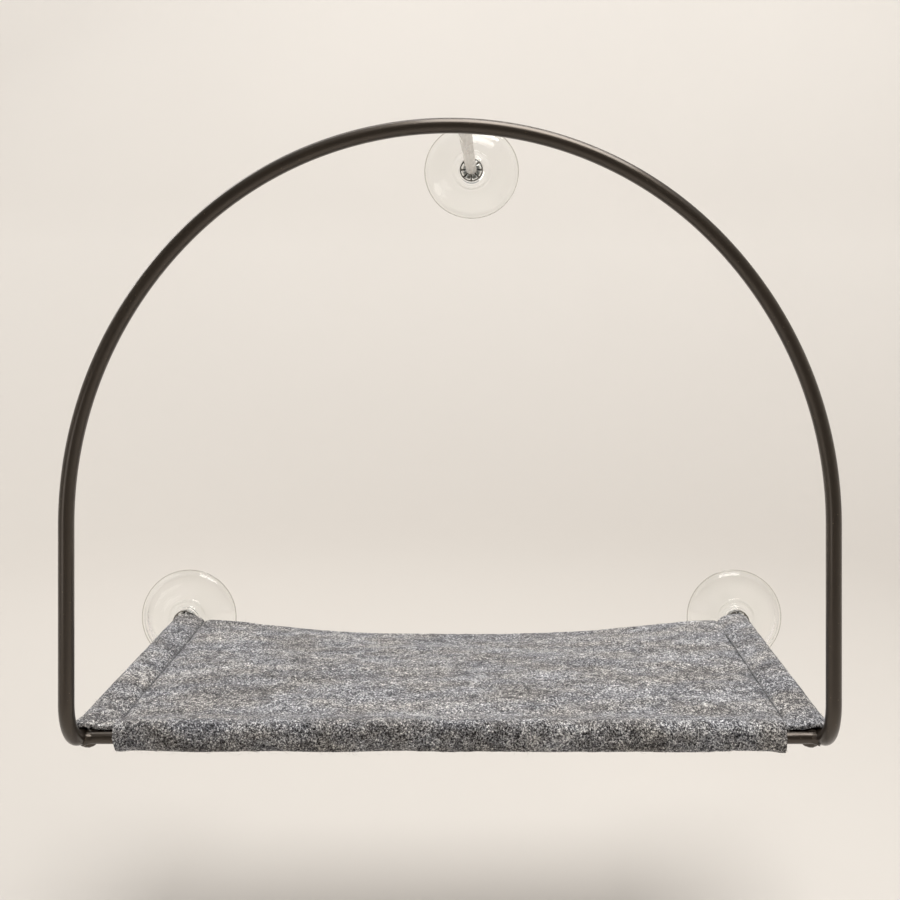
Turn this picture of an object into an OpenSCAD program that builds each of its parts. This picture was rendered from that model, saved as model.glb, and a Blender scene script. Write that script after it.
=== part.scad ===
// Window perch for a cat: a bent wire frame with a felt sling, held to a pane by suction cups.
// The pane is the plane y = 0, the room is towards -Y, and +Z is up.
// The origin is on the pane, midway between the axes of the two lower cups.

/* [Frame] */
// Diameter of the bar that makes the arch and the rails
wire_d = 10; // [8:0.5:12]
// Distance between the two rails, axis to axis
rail_gap = 490; // [380:5:600]
// Distance from the pane to the plane of the arch
depth = 300; // [240:5:380]
// Radius of the bend between a leg and its rail, at the bar's axis
bend_r = 32; // [20:1:50]
// Height at which the legs start to curve into the arch
spring_h = 146; // [80:2:240]
// Radius of the arch's shoulders, at the bar's axis
shoulder_r = 262; // [250:1:320]
// Angle that each shoulder turns through before the crown takes over
shoulder_turn = 45; // [30:1:60]
// Diameter of the two cross bars at the front
bar_d = 8; // [6:0.5:10]
// Distance from the plane of the arch back to the front bar's axis
bar_set_back = 26; // [20:1:34]
// Depth of weld penetration of a bar or stud into the wire
weld_depth = 1; // [0.5:0.1:2]
// Radius of a weld bead at its thickest
bead_r = 3; // [2:0.1:4]
// Length of a weld bead
bead_l = 12; // [8:0.5:16]

/* [Sling] */
// Thickness of the felt
felt_t = 3; // [2:0.1:4]
// Looseness of the felt round a rail
pocket_slack = 0.3; // [0.1:0.1:1]
// Distance from a rail's axis in to its pocket's seam
seam_in = 19; // [15:0.5:30]
// Width of the felt under the seam, past the stitches
lap_w = 5; // [3:0.5:10]
// Gap between the front wrap's side edge and a pocket's lap
lap_gap = 1; // [0.5:0.5:20]
// Height of the seat's middle over the rails' axes, where it is flat
seat_lift = 4.9; // [3:0.1:8]
// Height of the front wrap's crest over the rails' axes
crest_h = 11; // [8.5:0.5:14]
// Drop of the free rear edge in its middle
sag = 15.7; // [5:0.1:40]
// Length of felt that turns back under the seat, behind the bars
tail_l = 22; // [18:1:40]
// Distance from the cross bars back to the pockets' open front ends
pocket_start = 1; // [0.5:0.5:20]
// Distance from a rail's rear end forward to the felt's rear edge
felt_set_back = 4; // [2:0.5:30]
// Thickness of the hook strip and of the loop strip
strip_t = 1.5; // [1:0.1:2]
// Width of the two strips
strip_w = 16; // [10:1:18]
// Distance from the front wrap's side edge to the end of a strip
strip_inset = 40; // [5:5:100]
// Diameter of the sewing thread
thread_d = 0.9; // [0.5:0.1:1.5]

/* [Suction cups] */
// Diameter of a cup against the pane
cup_d = 85; // [60:1:100]
// Height of a cup when it is pressed on
cup_h = 11; // [9.5:0.5:16]
// Diameter of the boss in a cup's middle
boss_d = 22; // [20:0.5:28]
// Diameter of the ridge round the boss
ridge_d = 37; // [32:0.5:50]
// Depth of the hollow under a cup
hollow_h = 5.4; // [4.6:0.1:6]
// Thickness of a cup's lip
lip_t = 1.2; // [0.8:0.1:2]
// Width of the flat sealing band at a cup's edge
seal_w = 5; // [3:0.5:10]
// Diameter of the studs
stud_d = 5; // [4:0.5:6]
// Diameter of the disc that anchors a stud in its cup
anchor_d = 15; // [12:0.5:18]
// Thickness of that disc
anchor_t = 1.5; // [1:0.1:2]
// Depth of the tapped holes
tapped_l = 18; // [12:1:24]
// Diameter of a lock nut
nut_d = 20.6; // [18:0.2:24]
// Thickness of a lock nut
nut_t = 6; // [5:0.5:9]
// Number of cored pockets in a lock nut
nut_pockets = 8; // [6:1:9]
// Wall left inside and outside a cored pocket
nut_wall = 0.55; // [0.4:0.05:1.2]
// Depth of a cored pocket
nut_pocket_h = 3; // [1:0.5:4]
// Running clearance round a stud, on the radius
run_gap = 0.05; // [0.02:0.01:0.1]
// Gap between parts that turn against each other
face_gap = 0.4; // [0.3:0.1:1]

/* [Top tie] */
// Outer diameter of the tie tube
tie_d = 9.2; // [8.5:0.1:12]
// Place of the tie and its cup, to the right of the middle
tie_x = 9; // [-20:1:20]
// Length of the crown stud inside the tube
crown_stud_l = 16; // [10:1:24]

/* [Hidden] */
steel = "#3a322c";
felt = "#7d8086";
milky = "#cfccc6";
clear = [0.86, 0.9, 0.9, 0.4];
bright = "#b9bbbd";
sewing = "#6f7278";
tape = "#55585d";
arc_fn = 240;
turned_fn = 96;
round_fn = 72;
small_fn = 48;

wire_r = wire_d / 2;
bar_r = bar_d / 2;
rail_x = rail_gap / 2;

// The arch has three centres: a shoulder on each side and a crown between them.
shoulder_shift = shoulder_r - rail_x;
crown_rise = shoulder_shift * tan(shoulder_turn);
crown_r = shoulder_r - shoulder_shift / cos(shoulder_turn);
// The tie meets the crown a little off its middle, where the wire is a touch lower.
tie_z = spring_h + crown_rise + sqrt(pow(crown_r, 2) - pow(tie_x, 2));

// Stack along an axis that ends at a cup, as distances from the pane.
nut_from = cup_h + face_gap;
nut_to = nut_from + nut_t;
rail_end = nut_to + face_gap;
// Plastic between a cup's hollow and its disc, and room past a stud's end in its hole.
anchor_cover = 1;
thread_room = 2;
anchor_from = hollow_h + anchor_cover;
stud_to = rail_end + tapped_l - thread_room;
hole_d = stud_d + 2 * run_gap;
tie_front = depth - wire_r - face_gap;

bar_y = [-depth + bar_set_back, -depth + bar_set_back + bar_d];
bar_l = rail_gap - wire_d + 2 * weld_depth;
bead_y = bar_y[0] + bar_r;
// Length of the weld round the foot of the crown stud.
crown_bead_l = 2;

// Felt: all its heights and places are those of the middle of its thickness.
felt_r = felt_t / 2;
pocket_r = wire_r + pocket_slack + felt_r;
// Two layers meet at a seam with a hair's breadth between them.
layer_gap = 0.2;
layer_z = felt_r + layer_gap / 2;
seam_x = rail_x - seam_in;
wrap_x = seam_x - lap_w - lap_gap;
pocket_y = bar_y[1] + bar_r + pocket_start;
// The tail rises over a short ramp to the strips, and the seat sags from just behind its end.
tail_ramp = 10;
tail_margin = 4;
tail_y = pocket_y + tail_ramp;
flat_to_y = tail_y + tail_l + tail_margin;
felt_end_y = -rail_end - felt_set_back;
// The stitches stop short of the felt's edges.
stitch_margin = 4;
seam_reach = norm([seam_in, layer_z]);
tangent_a = 180 - atan(layer_z / seam_in) - acos(pocket_r / seam_reach);
arc_steps = 12;
mid_steps = 16;
seat_steps = 10;

// Strips and the tail that carries one of them.
strip_l = 2 * (wrap_x - strip_inset);
loop_z = seat_lift - felt_r - strip_t;
tail_z = loop_z - strip_t - felt_r;

// Seat height: flat over the strips, falling from their ends to the seams at the sides, and
// sagging more and more towards the free rear edge.
function side_share(x) = max(0, (abs(x) - strip_l / 2) / (seam_x - strip_l / 2));
function back_share(y) = max(0, (y - flat_to_y) / (felt_end_y - flat_to_y));
function seat_z(x, y) = seat_lift - (seat_lift - layer_z) * pow(side_share(x), 2)
    - sag * pow(back_share(y), 1.5) * (1 - pow(x / seam_x, 2));

// One pocket from the lap's free edge, under the rail and over it, to the seam on top.
pocket_line = concat(
    [[seam_x - lap_w, -layer_z], [seam_x, -layer_z]],
    [for (i = [0 : arc_steps])
        let (a = -tangent_a + 2 * tangent_a * i / arc_steps)
        [rail_x + pocket_r * cos(a), pocket_r * sin(a)]]);
pocket_n = len(pocket_line);

// Places across the seat, from seam to seam, with one on each side edge of the front wrap.
seat_xs = concat([-seam_x], [for (i = [0 : mid_steps]) -wrap_x + 2 * wrap_x * i / mid_steps],
    [seam_x]);
across_n = 2 * pocket_n + len(seat_xs);

// The front wrap, from its free tail under the seat, round the bars and up to the seat.
wrap_r = 5;
wrap_front = bar_y[0] - bar_r - pocket_slack - felt_r;
under_z = -bar_r - pocket_slack - felt_r;
crest_z = crest_h - felt_r;
// The wrap falls this far from its crest to the inner bar, behind which the seat begins.
crest_fall = 1.8;
wrap_line = concat(
    [[tail_y + tail_l, tail_z], [tail_y + tail_l / 2, tail_z], [tail_y, tail_z],
     [bar_y[1] + bar_r, under_z], [bar_y[1], under_z]],
    [for (a = [270 : -22.5 : 180]) [wrap_front + wrap_r * (1 + cos(a)),
                                    under_z + wrap_r * (1 + sin(a))]],
    [for (a = [180 : -22.5 : 90]) [wrap_front + wrap_r * (1 + cos(a)),
                                   crest_z - wrap_r * (1 - sin(a))]],
    [[bead_y, crest_z - crest_fall / 6], [bar_y[1], crest_z - crest_fall]]);
wrap_n = len(wrap_line);
seat_ys = concat([pocket_y, (pocket_y + flat_to_y) / 2],
    [for (j = [0 : seat_steps]) flat_to_y + (felt_end_y - flat_to_y) * j / seat_steps]);
along_n = wrap_n + len(seat_ys);

// A point of the felt's middle surface: i runs across from left to right, j from tail to rear.
function across(i, y) =
    i < pocket_n ? let (p = pocket_line[i]) [-p[0], y, p[1]]
    : i < across_n - pocket_n ? let (x = seat_xs[i - pocket_n]) [x, y, seat_z(x, y)]
    : let (p = pocket_line[across_n - 1 - i]) [p[0], y, p[1]];
function sling_point(i, j) =
    j >= wrap_n ? across(i, seat_ys[j - wrap_n])
    : let (w = wrap_line[j]) [across(i, 0)[0], w[0], w[1]];
function in_wrap(i) = i > pocket_n && i < across_n - pocket_n - 1;
function has_cell(i, j) = i >= 0 && j >= 0 && i < across_n - 1 && j < along_n - 1
    && (j >= wrap_n || (in_wrap(i) && in_wrap(i + 1)));
// Neighbours for the surface's direction, kept inside the piece that a point belongs to.
function first_i(i, j) = j < wrap_n ? max(i - 1, pocket_n + 1) : max(i - 1, 0);
function last_i(i, j) = j < wrap_n ? min(i + 1, across_n - pocket_n - 2)
    : min(i + 1, across_n - 1);
function first_j(i, j) = in_wrap(i) ? max(j - 1, 0) : max(j - 1, wrap_n);
function unit(v) = v / norm(v);
function sling_normal(i, j) = unit(cross(
    sling_point(last_i(i, j), j) - sling_point(first_i(i, j), j),
    sling_point(i, min(j + 1, along_n - 1)) - sling_point(i, first_j(i, j))));
function valid(i, j) = j >= wrap_n || in_wrap(i);
function sling_skin(side) = [for (j = [0 : along_n - 1]) for (i = [0 : across_n - 1])
    valid(i, j) ? sling_point(i, j) + side * felt_r * sling_normal(i, j) : [0, 0, 0]];
function top_id(i, j) = j * across_n + i;
function low_id(i, j) = top_id(i, j) + across_n * along_n;

// Bar along a circle in the XZ plane, from angle a0 through sweep.
module wire_arc(r, a0, sweep) {
    rotate([90, 0, 0])
        rotate_extrude(start = a0, angle = sweep, $fn = arc_fn)
            translate([r, 0]) circle(d = wire_d, $fn = round_fn);
}

// Round bar along +Y from y0 to y1.
module rod_y(x, z, y0, y1, d) {
    translate([x, y0, z]) rotate([-90, 0, 0]) cylinder(d = d, h = y1 - y0, $fn = round_fn);
}

module side_of_frame() {
    translate([rail_x, -depth, bend_r]) cylinder(d = wire_d, h = spring_h - bend_r, $fn = round_fn);
    translate([rail_x, -depth + bend_r, bend_r]) rotate([0, 0, 90]) wire_arc(bend_r, 180, 90);
    difference() {
        rod_y(rail_x, 0, -depth + bend_r, -rail_end, wire_d);
        rod_y(rail_x, 0, -rail_end - tapped_l, 0, hole_d);
    }
    translate([-shoulder_shift, -depth, spring_h]) wire_arc(shoulder_r, 0, shoulder_turn);
}

module frame_wire() {
    color(steel) union() {
        side_of_frame();
        mirror([1, 0, 0]) side_of_frame();
        translate([0, -depth, spring_h + crown_rise])
            wire_arc(crown_r, shoulder_turn, 180 - 2 * shoulder_turn);
    }
}

module cross_bar(y) {
    color(steel)
        translate([-bar_l / 2, y, 0]) rotate([0, 90, 0]) cylinder(d = bar_d, h = bar_l, $fn = round_fn);
}

module front_bar() { cross_bar(bar_y[0]); }

module inner_bar() { cross_bar(bar_y[1]); }

// Spindle of weld metal along X, thickest in its middle.
module bead(r, l) {
    rotate([0, 90, 0]) rotate_extrude($fn = small_fn)
        polygon(concat([[0, -l / 2]],
            [for (a = [-60 : 20 : 60]) [r * cos(a), l / 2 * sin(a)]], [[0, l / 2]]));
}

// Each joint has a bead under the two bars and a smaller one on top of them.
module weld_beads() {
    color(steel) union() {
        for (side = [-1, 1]) {
            translate([side * (rail_x - wire_r - bead_r / 2), bead_y, -bar_r]) bead(bead_r, bead_l);
            translate([side * (rail_x - wire_r), bead_y, bar_r * 3 / 4]) bead(bead_r * 4 / 5, bead_l * 2 / 3);
        }
        translate([tie_x, -depth + wire_r - crown_bead_l, tie_z]) rotate([-90, 0, 0])
            cylinder(d1 = stud_d + bead_r, d2 = stud_d + bead_r / 3, h = crown_bead_l, $fn = small_fn);
    }
}

module crown_stud() {
    color(bright)
        rod_y(tie_x, tie_z, -depth + wire_r - weld_depth, -tie_front + crown_stud_l, stud_d);
}

// Faces of the skins on both sides, and of the edges where a cell has no neighbour.
cells = [for (j = [0 : along_n - 2]) for (i = [0 : across_n - 2]) if (has_cell(i, j)) [i, j]];
function top_face(i, j) = [top_id(i, j), top_id(i, j + 1), top_id(i + 1, j + 1), top_id(i + 1, j)];
function low_face(i, j) = [low_id(i, j), low_id(i + 1, j), low_id(i + 1, j + 1), low_id(i, j + 1)];
function left_edge(i, j) = [top_id(i, j), low_id(i, j), low_id(i, j + 1), top_id(i, j + 1)];
function tail_edge(i, j) = [top_id(i, j), top_id(i + 1, j), low_id(i + 1, j), low_id(i, j)];
function turned_round(face) = [face[3], face[2], face[1], face[0]];

module felt_sling() {
    color(felt) polyhedron(
        points = concat(sling_skin(1), sling_skin(-1)),
        faces = concat(
            [for (c = cells) top_face(c[0], c[1])],
            [for (c = cells) low_face(c[0], c[1])],
            [for (c = cells) if (!has_cell(c[0] - 1, c[1])) left_edge(c[0], c[1])],
            [for (c = cells) if (!has_cell(c[0] + 1, c[1])) turned_round(left_edge(c[0] + 1, c[1]))],
            [for (c = cells) if (!has_cell(c[0], c[1] - 1)) tail_edge(c[0], c[1])],
            [for (c = cells) if (!has_cell(c[0], c[1] + 1)) turned_round(tail_edge(c[0], c[1] + 1))]));
}

// Sewn line on top of a pocket's seam, pulled half its thickness into the felt.
module pocket_thread(side) {
    color(sewing) rod_y(side * seam_x, layer_z + felt_r, pocket_y + stitch_margin,
                        felt_end_y - stitch_margin, thread_d);
}

module left_thread() { pocket_thread(-1); }

module right_thread() { pocket_thread(1); }

// Closing strip under the seat, above the front wrap's tail.
module closing_strip(z) {
    color(tape) translate([-strip_l / 2, tail_y + (tail_l - strip_w) / 2, z])
        cube([strip_l, strip_w, strip_t]);
}

module loop_strip() { closing_strip(loop_z); }

module hook_strip() { closing_strip(tail_z + felt_r); }

module tie_tube() {
    color(milky) difference() {
        rod_y(tie_x, tie_z, -tie_front, -rail_end, tie_d);
        rod_y(tie_x, tie_z, -depth, -tie_front + crown_stud_l + thread_room / 2, hole_d);
        rod_y(tie_x, tie_z, -rail_end - tapped_l, 0, hole_d);
    }
}

// Cup: its skirt rises from the lip to the ridge, and a groove parts the ridge from the boss.
cup_r = cup_d / 2;
ridge_r = ridge_d / 2;
boss_r = boss_d / 2;
edge_round = 0.6;
boss_rise = 3.4;
skirt_top = cup_h - boss_rise;
// Inner slope of the ridge, the groove beside it and the foot of the boss, on the radius.
ridge_slope = 1.5;
groove_at = 3;
groove_rise = 0.2;
boss_foot = 1.6;
boss_draft = 0.4;
hollow_flat_r = anchor_d;
cup_steps = 10;
function skirt_h(r) = let (s = (cup_r - r) / (cup_r - ridge_r))
    lip_t + (skirt_top - lip_t) * (1 - cos(90 * s)) * (0.55 + 0.45 * s);
function hollow_at(share) = [hollow_flat_r + (cup_r - seal_w - hollow_flat_r) * share,
                             hollow_h * (1 + cos(180 * share)) / 2];

// Half section of a cup, as radius and height over the pane, spun about its axis.
module cup_body() {
    skirt_r = cup_r - edge_round;
    rotate([90, 0, 0]) rotate_extrude($fn = turned_fn) polygon(concat(
        [[cup_r, 0], [cup_r, lip_t - edge_round / 2]],
        [for (i = [0 : cup_steps]) let (r = skirt_r - i * (skirt_r - ridge_r) / cup_steps) [r, skirt_h(r)]],
        [[ridge_r - ridge_slope, skirt_top + groove_rise],
         [ridge_r - groove_at, skirt_top - groove_rise], [boss_r + boss_foot, skirt_top],
         [boss_r + boss_draft, skirt_top + boss_draft * 2.5], [boss_r, cup_h - edge_round],
         [boss_r - edge_round, cup_h], [0, cup_h], [0, hollow_h]],
        [for (i = [0 : cup_steps]) hollow_at(i / cup_steps)]));
}

module cup_at(x, z) {
    color(clear) translate([x, 0, z]) difference() {
        cup_body();
        stud_shape();
    }
}

// Stud with its anchor disc, along the axis of a cup.
module stud_shape() {
    rod_y(0, 0, -anchor_from - anchor_t, -anchor_from, anchor_d);
    rod_y(0, 0, -stud_to, -anchor_from - anchor_t, stud_d);
}

module stud_at(x, z) {
    color(bright) translate([x, 0, z]) stud_shape();
}

// Lock nut: its pockets lie in the ring that shows round a rail's end.
module lock_nut_at(x, z) {
    nut_r = nut_d / 2;
    pocket_ring = (nut_r + wire_r) / 2;
    pocket_d = nut_r - wire_r - 2 * nut_wall;
    color(clear) translate([x, 0, z]) difference() {
        rotate([90, 0, 0]) rotate_extrude($fn = turned_fn) polygon([
            [hole_d / 2, nut_from], [nut_r - edge_round, nut_from], [nut_r, nut_from + edge_round],
            [nut_r, nut_to - edge_round], [nut_r - edge_round, nut_to], [hole_d / 2, nut_to]]);
        for (k = [0 : nut_pockets - 1]) rotate([0, (k + 0.5) * 360 / nut_pockets, 0])
            rod_y(pocket_ring, 0, -nut_to - 1, -nut_to + nut_pocket_h, pocket_d);
    }
}

module left_cup() { cup_at(-rail_x, 0); }

module right_cup() { cup_at(rail_x, 0); }

module top_cup() { cup_at(tie_x, tie_z); }

module left_stud() { stud_at(-rail_x, 0); }

module right_stud() { stud_at(rail_x, 0); }

module top_stud() { stud_at(tie_x, tie_z); }

module left_lock_nut() { lock_nut_at(-rail_x, 0); }

module right_lock_nut() { lock_nut_at(rail_x, 0); }

module top_lock_nut() { lock_nut_at(tie_x, tie_z); }

frame_wire();
front_bar();
inner_bar();
weld_beads();
crown_stud();
felt_sling();
left_thread();
right_thread();
loop_strip();
hook_strip();
tie_tube();
left_cup();
right_cup();
top_cup();
left_stud();
right_stud();
top_stud();
left_lock_nut();
right_lock_nut();
top_lock_nut();
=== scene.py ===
"""Window perch for a cat: wire arch, felt sling, clear suction cups. Metres, +Z up, pane at y = 0."""
import math

import bpy
import numpy as np
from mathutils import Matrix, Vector, noise


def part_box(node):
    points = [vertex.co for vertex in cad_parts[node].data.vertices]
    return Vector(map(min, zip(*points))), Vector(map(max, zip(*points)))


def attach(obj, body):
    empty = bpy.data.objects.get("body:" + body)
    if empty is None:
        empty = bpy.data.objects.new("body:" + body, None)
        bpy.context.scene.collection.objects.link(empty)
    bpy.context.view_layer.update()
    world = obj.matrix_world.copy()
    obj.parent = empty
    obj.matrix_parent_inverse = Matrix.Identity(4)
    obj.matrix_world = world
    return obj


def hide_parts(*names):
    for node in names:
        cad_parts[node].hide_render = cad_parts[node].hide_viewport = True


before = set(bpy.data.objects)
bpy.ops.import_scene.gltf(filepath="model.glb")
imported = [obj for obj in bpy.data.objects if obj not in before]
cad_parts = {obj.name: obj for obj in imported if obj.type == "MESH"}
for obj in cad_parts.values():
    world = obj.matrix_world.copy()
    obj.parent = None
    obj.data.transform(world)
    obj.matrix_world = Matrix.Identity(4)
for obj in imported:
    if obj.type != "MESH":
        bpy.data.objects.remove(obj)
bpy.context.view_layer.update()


# ---------------------------------------------------------------- view
# A level camera in the room, about a metre from the pane and above the seat. Its picture plane
# is parallel to the arch, so the arch keeps its true outline while the rails run away from it.
camera = bpy.data.objects.new("camera", bpy.data.cameras.new("camera"))
bpy.context.scene.collection.objects.link(camera)
bpy.context.scene.camera = camera
camera.location = (0.0255, -1.0317, 0.3005)
camera.rotation_euler = (math.radians(90), 0, 0)
camera.data.sensor_width = 36
camera.data.lens = 45.85
camera.data.shift_x = -0.0444
camera.data.shift_y = -0.1856
bpy.context.scene.view_settings.view_transform = "Standard"


# ---------------------------------------------------------------- bent wire
# One 10 mm steel bar, bent cold into the arch and on into the two rails, then powder coated a
# brown-black satin. Its rear ends are faced, chamfered and tapped for the cups' studs.
class Signal:
    """A socket in a finish, so that shader maths reads as plain expressions."""

    def __init__(self, finish, socket):
        self.finish = finish
        self.socket = socket

    def maths(self, operation, first, second):
        return self.finish.node("ShaderNodeMath", {"operation": operation}, {0: first, 1: second})

    def __add__(self, other):
        return self.maths("ADD", self, other)

    def __sub__(self, other):
        return self.maths("SUBTRACT", self, other)

    def __rsub__(self, other):
        return self.maths("SUBTRACT", other, self)

    def __mul__(self, other):
        return self.maths("MULTIPLY", self, other)

    def __abs__(self):
        return self.maths("ABSOLUTE", self, 0.0)

    def above(self, other):
        return self.maths("MAXIMUM", self, other)

    def below(self, other):
        return self.maths("MINIMUM", self, other)

    __radd__ = __add__
    __rmul__ = __mul__


class Finish:
    """A material made of nodes round one Principled shader."""

    def __init__(self, name, plain):
        self.material = bpy.data.materials.new(name)
        self.material.use_nodes = True
        self.tree = self.material.node_tree
        self.shader = self.tree.nodes["Principled BSDF"]
        for socket, value in plain.items():
            self.shader.inputs[socket].default_value = value

    def node(self, kind, settings, sockets, output=0):
        """Any node: its settings first, then the values or links of its sockets."""
        made = self.tree.nodes.new(kind)
        for name, value in settings.items():
            if name == "stops":
                ramp = made.color_ramp
                while len(ramp.elements) < len(value):
                    ramp.elements.new(1.0)
                for element, (place, colour) in zip(ramp.elements, value):
                    element.position = place
                    element.color = (*colour, 1.0)
            else:
                setattr(made, name, value)
        for name, value in sockets.items():
            self.feed(made.inputs[name], value)
        return Signal(self, made.outputs[output])

    def feed(self, socket, value):
        if isinstance(value, Signal):
            self.tree.links.new(value.socket, socket)
        else:
            socket.default_value = value

    def varies(self, **signals):
        """Feeds what changes over the surface into the shader: Base_Color, Roughness and so on."""
        for name, value in signals.items():
            self.feed(self.shader.inputs[name.replace("_", " ")], value)

    def place(self, turn=(0, 0, 0), stretch=(1, 1, 1)):
        """The point on the piece, in metres, turned and then stretched."""
        here = self.node("ShaderNodeTexCoord", {}, {}, "Object")
        return self.node("ShaderNodeMapping", {"vector_type": "TEXTURE"},
                         {"Vector": here, "Rotation": turn, "Scale": stretch})

    def grain(self, size, detail=2.0, turn=(0, 0, 0), stretch=(1, 1, 1), rough=0.5):
        """Noise from 0 to 1 whose patches are about size metres across."""
        return self.node("ShaderNodeTexNoise", {}, {
            "Vector": self.place(turn, stretch), "Scale": 1 / size, "Detail": detail,
            "Roughness": rough})

    def ramp(self, signal, low, high):
        """0 below low, 1 above high and straight between them."""
        return self.node("ShaderNodeMapRange", {}, {
            "Value": signal, "From Min": low, "From Max": high})

    def mix(self, share, first, second):
        """From the first colour to the second."""
        return self.node("ShaderNodeMix", {"data_type": "RGBA"},
                         {"Factor": share, 6: first, 7: second}, 2)

    def relief(self, height, depth, strength=1.0):
        """A bump whose full height is depth metres."""
        return self.node("ShaderNodeBump", {}, {
            "Height": height, "Distance": depth, "Strength": strength})


def rgb(red, green, blue):
    """A linear colour from the usual 0 to 255 values."""
    return tuple(((v / 255 + 0.055) / 1.055) ** 2.4 if v > 10 else v / 3295
                 for v in (red, green, blue)) + (1.0,)


def loft(rings, joined=False):
    """Points and faces of a skin through rings of points. Its ends are closed, or joined in a ring."""
    rings = np.asarray(rings, float)
    count, sides = rings.shape[:2]
    points = rings.reshape(-1, 3)
    rows = range(count if joined else count - 1)
    faces = [(r * sides + i, r * sides + (i + 1) % sides,
              (r + 1) % count * sides + (i + 1) % sides, (r + 1) % count * sides + i)
             for r in rows for i in range(sides)]
    if not joined:
        hubs = len(points)
        points = np.vstack([points, rings[0].mean(0), rings[-1].mean(0)])
        last = (count - 1) * sides
        for i in range(sides):
            faces.append((hubs, (i + 1) % sides, i))
            faces.append((hubs + 1, last + i, last + (i + 1) % sides))
    return points, faces


def together(parts):
    """Several skins as one set of points and faces."""
    points, faces = [], []
    for more, others in parts:
        start = sum(len(p) for p in points)
        points.append(np.asarray(more, float))
        faces += [tuple(start + v for v in face) for face in others]
    return np.vstack(points), faces


def piece(name, skin, finish, body, nodes=(), crease=40):
    """A shown piece made of a skin, which rides on a body and stands for CAD nodes."""
    mesh = bpy.data.meshes.new(name)
    mesh.from_pydata(np.asarray(skin[0]).tolist(), [], skin[1])
    mesh.shade_smooth()
    mesh.set_sharp_from_angle(angle=math.radians(crease))
    mesh.materials.append(finish.material)
    made = bpy.data.objects.new(name, mesh)
    bpy.context.scene.collection.objects.link(made)
    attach(made, body)
    if nodes:
        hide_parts(*nodes)
    return made


def middle(node):
    """The middle of a CAD node's box."""
    low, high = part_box(node)
    return (low + high) / 2


def hoop(centre, outward, forward, radius, sides):
    """A ring of points round a bar that runs along forward."""
    centre = np.array(centre, float)
    outward = np.array(outward, float)
    across = np.cross(outward, forward)
    turns = np.linspace(0, 2 * math.pi, sides, endpoint=False)[:, None]
    return centre + radius * (np.cos(turns) * outward + np.sin(turns) * across)


wire_low, wire_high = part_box("frame_wire")
rail_x = middle("right_cup").x
wire_r = wire_high.x - rail_x
arch_y = wire_low.y + wire_r
rail_end = wire_high.y
bend_r = 0.032
spring_h = 0.146
shoulder_r = 0.262
shoulder_turn = math.radians(45)
hole_r = 0.00255
hole_depth = 0.018
wire_sides = 56

shoulder_shift = shoulder_r - rail_x
crown_rise = shoulder_shift * math.tan(shoulder_turn)
crown_r = shoulder_r - shoulder_shift / math.cos(shoulder_turn)


def half_wire():
    """Centre, outward direction, forward direction and radius from a rail's hole up to the crown."""
    outward, forward, up = (1, 0, 0), (0, -1, 0), (0, 0, 1)
    for y, radius in ((rail_end - hole_depth, 0.0002), (rail_end - hole_depth, hole_r),
                      (rail_end - 0.0005, hole_r), (rail_end, hole_r + 0.0004),
                      (rail_end, wire_r - 0.0007), (rail_end - 0.0002, wire_r - 0.0003),
                      (rail_end - 0.0006, wire_r)):
        yield (rail_x, y, 0), outward, forward, radius
    for y in np.linspace(rail_end - 0.002, arch_y + bend_r, 24, endpoint=False):
        yield (rail_x, y, 0), outward, forward, wire_r
    for a in np.radians(np.linspace(0, 90, 24, endpoint=False)):
        centre = (rail_x, arch_y + bend_r - bend_r * math.sin(a), bend_r - bend_r * math.cos(a))
        yield centre, outward, (0, -math.cos(a), math.sin(a)), wire_r
    for z in np.linspace(bend_r, spring_h, 12, endpoint=False):
        yield (rail_x, arch_y, z), outward, up, wire_r
    for a in np.linspace(0, shoulder_turn, 48, endpoint=False):
        radial = (math.cos(a), 0, math.sin(a))
        centre = (shoulder_r * radial[0] - shoulder_shift, arch_y, spring_h + shoulder_r * radial[2])
        yield centre, radial, (-radial[2], 0, radial[0]), wire_r
    for a in np.linspace(shoulder_turn, math.radians(90), 48, endpoint=False):
        radial = (math.cos(a), 0, math.sin(a))
        centre = (crown_r * radial[0], arch_y, spring_h + crown_rise + crown_r * radial[2])
        yield centre, radial, (-radial[2], 0, radial[0]), wire_r


right_half = [hoop(*ring, wire_sides) for ring in half_wire()]
crown_ring = hoop((0, arch_y, spring_h + crown_rise + crown_r), (0, 0, 1), (-1, 0, 0), wire_r,
                  wire_sides)
left_half = [ring * (-1, 1, 1) for ring in right_half[::-1]]

powder_coat = Finish("powder coat", {
    "IOR": 1.5, "Specular IOR Level": 0.8, "Specular Tint": (1.0, 0.84, 0.70, 1.0),
    "Coat Weight": 0.35, "Coat Roughness": 0.12, "Coat IOR": 1.5})
speckle = powder_coat.node("ShaderNodeTexVoronoi", {}, {
    "Vector": powder_coat.place(), "Scale": 260.0}, "Distance")
cloud = powder_coat.grain(0.03, 3.0)
peel = powder_coat.grain(0.0011, 2.0) + 0.6 * powder_coat.grain(0.0004, 1.0)
coat_brown = powder_coat.mix(powder_coat.ramp(cloud, 0.3, 0.7), rgb(19, 14, 9), rgb(26, 20, 14))
powder_coat.varies(
    Base_Color=powder_coat.mix(powder_coat.ramp(speckle, 0.10, 0.04), coat_brown, rgb(96, 84, 70)),
    Roughness=0.26 + 0.12 * powder_coat.grain(0.004, 3.0),
    Normal=powder_coat.relief(peel, 0.00004, 0.5))

piece("bent_wire", loft(right_half + [crown_ring] + left_half), powder_coat, "frame",
      ["frame_wire"], crease=50)


# ---------------------------------------------------------------- cross bars
# Two straight 8 mm bars side by side between the rails, cut square, butt welded to the wire's
# inner side and powder coated with it. The sling's front edge is wrapped round both.
def dress(node, finish):
    """Gives a CAD node its finish."""
    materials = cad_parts[node].data.materials
    materials.clear()
    materials.append(finish.material)


for node in ("front_bar", "inner_bar"):
    dress(node, powder_coat)

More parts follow.
